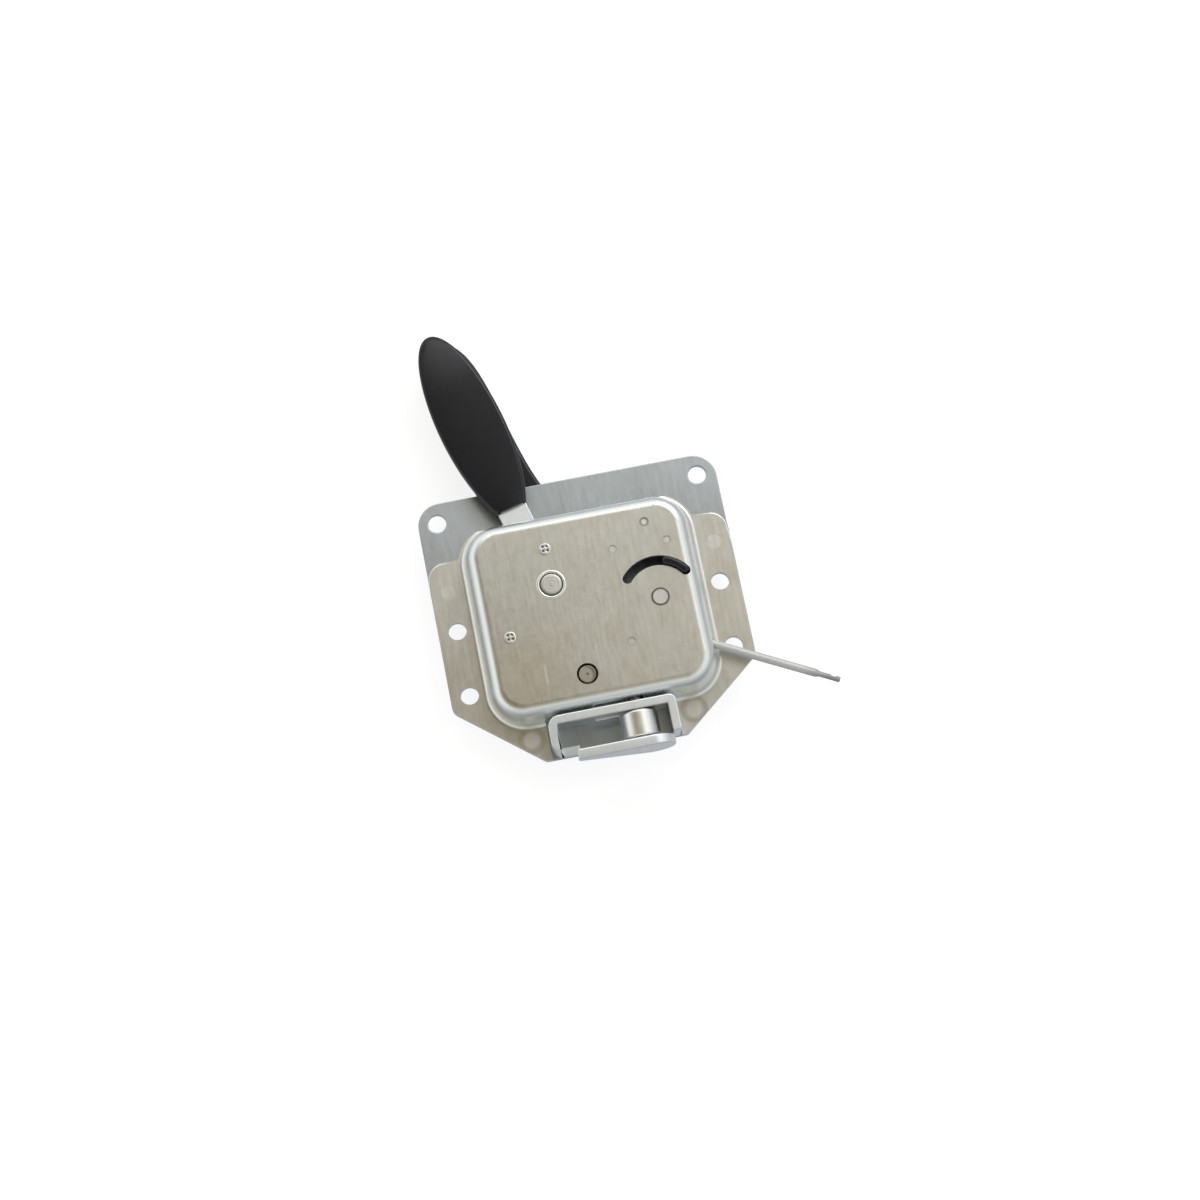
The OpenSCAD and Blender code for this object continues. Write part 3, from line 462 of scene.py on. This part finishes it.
def pin_paint(name, light, dark, rough, brush):
    """Ends of the pins: painted shade in the joints round them, a stained stud with a painted shadow
    crescent and painted shade in its centre mark, and painted shade in the punch dents of the stakes.
    """
    paint = Plated(name, light, dark, rough, brush)
    # Painted shade in the joints round the shaft and the lock pin.
    paint.ring_mark(PIVOT, SHAFT_RING, SHADE)
    paint.ring_mark(LOCK_PIN, LOCK_PIN_RING, SHADE)
    paint.spot_mark(STUD, STUD_STAIN, STAIN)
    shadow = paint.range(paint.distance(STUD + LIT_SIDE), *STUD_SHADOW, 0.0, 1.0)
    shadow = paint.math("MULTIPLY", shadow, paint.spot(STUD, STUD_R, STUD_SOFT))
    paint.mark(shadow, STUD_SHADOW_SHARE, SHADE)
    # Painted shade in the stud's centre mark.
    paint.spot_mark(STUD, STUD_CENTRE, SHADE)
    # Painted shade in the four punch dents of each stake.
    for x, y in STAKES:
        for u, v in PUNCHES:
            paint.spot_mark((x + u, y + v, 0), PUNCH_SPOT, SHADE)
    return paint.done()


BUSH_RING = (3.95, 0.35, 0.9)
STEM_GAP = ((-30.0, -50.3, 0), (30.0, -38.0, 0))
STEM_PATCH = (0.4, 0.9)


def bush_paint(name, light, dark, rough, brush):
    """Turned steel: painted shade in the joint where the shaft runs in its bush, and painted shade on the
    stem behind the bracket.
    """
    paint = Plated(name, light, dark, rough, brush)
    # Painted shade in the joint where the shaft runs in its bush.
    paint.ring_mark(PIVOT, BUSH_RING, SHADE)
    # Painted shade on the stem behind the bracket.
    paint.patch_mark(STEM_GAP, STEM_PATCH, SHADE)
    return paint.done()


BLACK = (0.011, 0.011, 0.015)
SOFT_BLACK = (0.016, 0.016, 0.021)
BLACK_CLOUDS = {"scale": 60, "detail": 2}
PEEL = {"scale": 700, "detail": 2}
PEEL_SMOOTHER, PEEL_ROUGHER = 0.03, 0.05
PEEL_BUMP, PEEL_BUMP_DEPTH = 0.05, 0.05 * MM
BLACK_SPECULAR = 0.4


def black_gloss(name, rough):
    """Black moulded cover with a soft gloss and a very fine orange peel."""
    paint = Paint(name)
    clouds = paint.noise(**BLACK_CLOUDS)
    peel = paint.noise(**PEEL)
    paint.link(paint.mix(clouds, (*BLACK, 1), (*SOFT_BLACK, 1)), paint.shader.inputs["Base Color"])
    paint.shader.inputs["Specular IOR Level"].default_value = BLACK_SPECULAR
    gloss = paint.range(peel, *FINE_SPAN, rough - PEEL_SMOOTHER, rough + PEEL_ROUGHER)
    paint.link(gloss, paint.shader.inputs["Roughness"])
    paint.bump(peel, PEEL_BUMP, PEEL_BUMP_DEPTH)
    return paint.material


# Each metal has its light tone, dark tone, roughness and strength of the grain, each black its roughness
MATERIALS = {
    "plate_zinc": Plated("plate_zinc", (0.61, 0.655, 0.70), (0.45, 0.49, 0.52), 0.34, 0.2).done(),
    "cover_zinc": cover_paint("cover_zinc", (0.83, 0.825, 0.79), (0.71, 0.70, 0.66), 0.34, 0.12),
    "bright_zinc": bright_paint("bright_zinc", (0.92, 0.94, 0.97), (0.82, 0.85, 0.88), 0.40, 0.15),
    "turned_steel": bush_paint("turned_steel", (0.99, 0.98, 0.94), (0.86, 0.85, 0.80), 0.33, 0.1),
    "plain_steel": pin_paint("plain_steel", (0.86, 0.86, 0.83), (0.74, 0.74, 0.71), 0.36, 0.1),
    "spring_steel": Plated("spring_steel", (0.62, 0.63, 0.64), (0.45, 0.46, 0.47), 0.3).done(),
    "black_grip": black_gloss("black_grip", 0.17),
    "black_tab": black_gloss("black_tab", 0.14),
}


def paint_nodes():
    """Gives each CAD node the material that its slot is named after."""
    for obj in NODES.values():
        for slot in obj.material_slots:
            slot.material = MATERIALS[slot.material.name.split(".")[0]]


# Edges of the solids: the sharp edges of these nodes are slightly rounded, in millimetres
EDGE = {
    "back_plate": 0.35,
    "cover_pan": 0.8,
    "bolt_bracket": 0.5,
    "bolt_tongue": 0.6,
    "handle_lever": 0.4,
    "rear_lever": 0.4,
    "handle_shaft": 0.35,
    "lock_pin": 0.3,
    "shaft_bush_front": 0.6,
    "guide_studs": 0.35,
    "lock_tab": 1.0,
    "bolt_roller": 0.25,
}
EDGE_STEPS = 3
# The cover's rounding is only for the upper edge of its two flanges, which lies inside these limits
FLANGE_X = 44.0
FLANGE_Y = (10.5, 17.65)
FLANGE_Z = (3.5, 3.7)
SHARP = math.radians(32)
WELD = 0.002 * MM
FLAT = math.radians(0.3)


def node_tree(name):
    """An empty geometry node group with its input and output nodes."""
    group = bpy.data.node_groups.new(name, "GeometryNodeTree")
    for way in ("INPUT", "OUTPUT"):
        group.interface.new_socket("Geometry", in_out=way, socket_type="NodeSocketGeometry")
    return group, group.nodes.new("NodeGroupInput"), group.nodes.new("NodeGroupOutput")


def bare_group():
    """Geometry nodes that drop the normals the solid came with and weld its faces together."""
    group, start, end = node_tree("bare_mesh")
    weld = group.nodes.new("GeometryNodeMergeByDistance")
    weld.inputs["Distance"].default_value = WELD
    drop = group.nodes.new("GeometryNodeRemoveAttribute")
    drop.inputs["Name"].default_value = "custom_normal"
    link = group.links.new
    link(start.outputs[0], drop.inputs["Geometry"])
    link(drop.outputs[0], weld.inputs["Geometry"])
    link(weld.outputs[0], end.inputs[0])
    return group


def smooth_group():
    """Geometry nodes that shade smoothly across every edge flatter than the sharp angle."""
    group, start, end = node_tree("smooth_by_angle")
    angle = group.nodes.new("GeometryNodeInputMeshEdgeAngle")
    flat = group.nodes.new("FunctionNodeCompare")
    flat.operation = "LESS_THAN"
    flat.inputs["B"].default_value = SHARP
    edges = group.nodes.new("GeometryNodeSetShadeSmooth")
    edges.domain = "EDGE"
    faces = group.nodes.new("GeometryNodeSetShadeSmooth")
    faces.domain = "FACE"
    link = group.links.new
    link(start.outputs[0], edges.inputs["Geometry"])
    link(angle.outputs["Unsigned Angle"], flat.inputs["A"])
    link(flat.outputs[0], edges.inputs["Shade Smooth"])
    link(edges.outputs[0], faces.inputs["Geometry"])
    link(faces.outputs[0], end.inputs[0])
    return group


def flange_group():
    """Geometry nodes that weigh the sharp upper edges of the cover's flanges for the bevel."""
    group, start, end = node_tree("flange_edges")
    link = group.links.new
    place = group.nodes.new("ShaderNodeSeparateXYZ")
    link(group.nodes.new("GeometryNodeInputPosition").outputs[0], place.inputs[0])
    angle = group.nodes.new("GeometryNodeInputMeshEdgeAngle").outputs["Unsigned Angle"]
    aside = group.nodes.new("ShaderNodeMath")
    aside.operation = "ABSOLUTE"
    link(place.outputs["X"], aside.inputs[0])
    tests = [(angle, "GREATER_THAN", SHARP), (aside.outputs[0], "GREATER_THAN", FLANGE_X * MM)]
    for axis, (low, high) in (("Y", FLANGE_Y), ("Z", FLANGE_Z)):
        tests.append((place.outputs[axis], "GREATER_THAN", low * MM))
        tests.append((place.outputs[axis], "LESS_THAN", high * MM))
    chosen = None
    for value, how, limit in tests:
        test = group.nodes.new("FunctionNodeCompare")
        test.operation = how
        test.inputs["B"].default_value = limit
        link(value, test.inputs["A"])
        if chosen:
            both = group.nodes.new("FunctionNodeBooleanMath")
            link(chosen, both.inputs[0])
            link(test.outputs[0], both.inputs[1])
            chosen = both.outputs[0]
        else:
            chosen = test.outputs[0]
    keep = group.nodes.new("GeometryNodeStoreNamedAttribute")
    keep.domain = "EDGE"
    keep.inputs["Name"].default_value = "bevel_weight_edge"
    link(start.outputs[0], keep.inputs["Geometry"])
    link(chosen, keep.inputs["Value"])
    link(keep.outputs[0], end.inputs[0])
    return group


def dress_edges():
    """Modifiers for every CAD node: rounded edges where they are listed, and smooth shading."""
    bare = bare_group()
    smooth = smooth_group()
    for name, obj in NODES.items():
        obj.modifiers.new("bare", "NODES").node_group = bare
        if name in EDGE:
            flat = obj.modifiers.new("flat", "DECIMATE")
            flat.decimate_type = "DISSOLVE"
            flat.angle_limit = FLAT
            if name == "cover_pan":
                obj.modifiers.new("flange", "NODES").node_group = flange_group()
            bevel = obj.modifiers.new("edge", "BEVEL")
            bevel.width = EDGE[name] * MM
            bevel.segments = EDGE_STEPS
            bevel.limit_method = "WEIGHT" if name == "cover_pan" else "ANGLE"
            bevel.angle_limit = SHARP
            bevel.use_clamp_overlap = False
        obj.modifiers.new("smooth", "NODES").node_group = smooth
        even = obj.modifiers.new("even", "WEIGHTED_NORMAL")
        even.keep_sharp = True


# Meshes made here, in millimetres


def add_mesh(name, points, faces, slot, body, sharp=SHARP):
    data = bpy.data.meshes.new(name)
    data.from_pydata([Vector(p) * MM for p in points], [], faces)
    data.materials.append(MATERIALS[slot])
    data.shade_smooth()
    data.set_sharp_from_angle(angle=sharp)
    obj = add_object(name, data)
    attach(obj, body)
    return obj


def skin(rings, first=0):
    """Faces of a closed tube through rings of equal length, with a cap at each end."""
    n = len(rings[0])
    last = len(rings) - 1
    faces = []
    for k in range(last):
        here = first + k * n
        there = here + n
        faces += [(here + i, here + (i + 1) % n, there + (i + 1) % n, there + i) for i in range(n)]
    low = tuple(first + i for i in reversed(range(n)))
    high = tuple(first + last * n + i for i in range(n))
    return faces + [low, high]


# Grip: the solids' two leaves with slightly crowned faces, round rims and tips that thin out. The rear
# leaf's waist is a little narrower than the solid's, as in the photograph. Each leaf has the height of its
# middle, its reach from the pivot, and its width to the left and right at the foot, the belly and the tip.
HANDLE_LEAN = math.radians(14.6)
GRIP_START = 33.0
GRIP_FLARE = 25.0
GRIP_SHARP = math.radians(50)
LEAVES = (
    {"z": 8.75, "end": 105.2, "left": (5.7, 17.3, 11.2), "right": (5.7, 17.3, 11.2)},
    {"z": -7.35, "end": 107.5, "left": (6.0, 11.0, 10.0), "right": (17.0, 8.0, 22.0)},
)
LEAF_HALF_T = 2.5
LEAF_TIP_T = 1.5
LEAF_THIN_FROM = 0.55
LEAF_THIN_POWER = 1.5
LEAF_FULL_HALF = 4
LEAF_RINGS = 72
LAST_RING = 0.995
RIM_R = 1.2
RIM_STEPS = 6
RIM_MOST = 0.8
CROWN = 0.35
CROWN_STEPS = 10
CROWN_MOST = 0.2


def bezier(points, s):
    q = 1 - s
    return q ** 3 * points[0] + 3 * q * q * s * points[1] + 3 * q * s * s * points[2] + s ** 3 * points[3]


def leaf_section(half, t):
    """Closed section of a leaf: two faces with a slight crown between four round rims."""
    crown = min(CROWN, CROWN_MOST * t)
    r = min(RIM_R, RIM_MOST * (t - crown), RIM_MOST * half)
    flat = half - r
    low = t - crown - r
    points = []
    for quarter, (sx, sz) in enumerate(((1, 1), (-1, 1), (-1, -1), (1, -1))):
        for i in range(RIM_STEPS + 1):
            a = math.pi / 2 * (quarter + i / RIM_STEPS)
            points.append((sx * flat + r * math.cos(a), sz * low + r * math.sin(a)))
        if quarter % 2 == 0:
            for i in range(1, CROWN_STEPS):
                share = math.cos(math.pi * i / CROWN_STEPS)
                points.append((sx * flat * share, sz * (t - crown * share * share)))
    return points[::-1]


def leaf_rings(leaf):
    """Sections of a leaf from its foot to its tip, closer together towards the tip."""
    rings = []
    for k in range(LEAF_RINGS + 1):
        s = LAST_RING * math.sin(k / LEAF_RINGS * math.pi / 2)
        along = bezier((GRIP_START, GRIP_START + GRIP_FLARE, leaf["end"], leaf["end"]), s)
        left = -bezier((*leaf["left"], 0.0), s)
        right = bezier((*leaf["right"], 0.0), s)
        mid = (left + right) / 2
        half = (right - left) / 2
        thin = max(0.0, (s - LEAF_THIN_FROM) / (1 - LEAF_THIN_FROM))
        t = LEAF_HALF_T + (LEAF_TIP_T - LEAF_HALF_T) * thin ** LEAF_THIN_POWER
        t *= min(1.0, math.sqrt(half / LEAF_FULL_HALF))
        rings.append([(mid + x, along, leaf["z"] + z) for x, z in leaf_section(half, t)])
    return rings


def grip():
    turn = Matrix.Rotation(HANDLE_LEAN, 3, "Z")
    base = Vector((PIVOT.x, PIVOT.y, 0))
    points = []
    faces = []
    for leaf in LEAVES:
        rings = leaf_rings(leaf)
        faces += skin(rings, len(points))
        points += [base + turn @ Vector(p) for ring in rings for p in ring]
    obj = add_mesh("grip", points, faces, "black_grip", "handle", GRIP_SHARP)
    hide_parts("handle_grip")


# Punched ends of the stake rivets, and the turned end of the shaft
DISC_RINGS = 14
DISC_SIDES = 48
CAP_H = 0.2
CAP_EDGE = 0.4
STAKE_R = 2.1
STAKE_Z = 15.85
STAKE_EDGE_SHARE = 0.2
PUNCH_R = 0.5
PUNCH_DEPTH = 0.16
SHAFT_R = 3.8
SHAFT_Z = 16.1
SHAFT_EDGE_SHARE = 0.1
TURNED = (1.2, 2.2, 3.1)
TURNED_W = 0.16
TURNED_DEPTH = 0.04


def circle(r):
    turns = [2 * math.pi * i / DISC_SIDES for i in range(DISC_SIDES)]
    return [(r * math.cos(a), r * math.sin(a)) for a in turns]


def disc(at, radius, z, height):
    """A low round cap whose top follows a height function of the place on it."""
    rings = [[(at[0] + x, at[1] + y, z) for x, y in circle(radius)]]
    for k in range(DISC_RINGS):
        r = radius * (1 - k / DISC_RINGS)
        rings.append([(at[0] + x, at[1] + y, z + height(x, y)) for x, y in circle(r)])
    return rings


def punched(x, y):
    """Height of a stake's end: a low cap with four dents."""
    dents = sum(math.exp(-((x - u) ** 2 + (y - v) ** 2) / PUNCH_R ** 2) for u, v in PUNCHES)
    rim = min(1.0, (STAKE_R - math.hypot(x, y)) / CAP_EDGE + STAKE_EDGE_SHARE)
    return CAP_H * rim - PUNCH_DEPTH * min(1.0, dents)


def turned(x, y):
    """Height of the shaft's end: a low cap with round tool marks."""
    r = math.hypot(x, y)
    marks = sum(math.exp(-((r - at) / TURNED_W) ** 2) for at in TURNED)
    rim = min(1.0, (SHAFT_R - r) / CAP_EDGE + SHAFT_EDGE_SHARE)
    return CAP_H * rim - TURNED_DEPTH * marks


def small_ends():
    points = []
    faces = []
    for spot in STAKES:
        rings = disc(spot, STAKE_R, STAKE_Z, punched)
        faces += skin(rings, len(points))
        points += [p for ring in rings for p in ring]
    add_mesh("stake_ends", points, faces, "plain_steel", "case")
    rings = disc((PIVOT.x, PIVOT.y), SHAFT_R, SHAFT_Z, turned)
    add_mesh("shaft_end", [p for ring in rings for p in ring], skin(rings), "plain_steel", "handle")


# The bush's flared lip, a low round ring about the shaft
LIP_R = 4.75
LIP_HALF = 0.65
LIP_Z = 15.6
LIP_H = 0.5
LIP_STEPS = 12
LIP_SIDES = 96
LIP_SHARP = math.radians(60)


def bush_lip():
    points = []
    for i in range(LIP_SIDES):
        a = 2 * math.pi * i / LIP_SIDES
        for k in range(LIP_STEPS + 1):
            b = math.pi * k / LIP_STEPS
            r = LIP_R + LIP_HALF * math.cos(b)
            z = LIP_Z + LIP_H * math.sin(b)
            points.append((PIVOT.x + r * math.cos(a), PIVOT.y + r * math.sin(a), z))
    n = LIP_STEPS + 1
    faces = []
    for i in range(LIP_SIDES):
        here = i * n
        there = (i + 1) % LIP_SIDES * n
        faces += [(here + k, there + k, there + (k + 1) % n, here + (k + 1) % n) for k in range(n)]
    add_mesh("bush_lip", points, faces, "turned_steel", "case", LIP_SHARP)


camera()
world()
soft_box("key", *KEY_BOX)
soft_box("back", *BACK_BOX)
floor()
paint_nodes()
dress_edges()
grip()
small_ends()
bush_lip()
bpy.context.scene.view_settings.view_transform = "Standard"
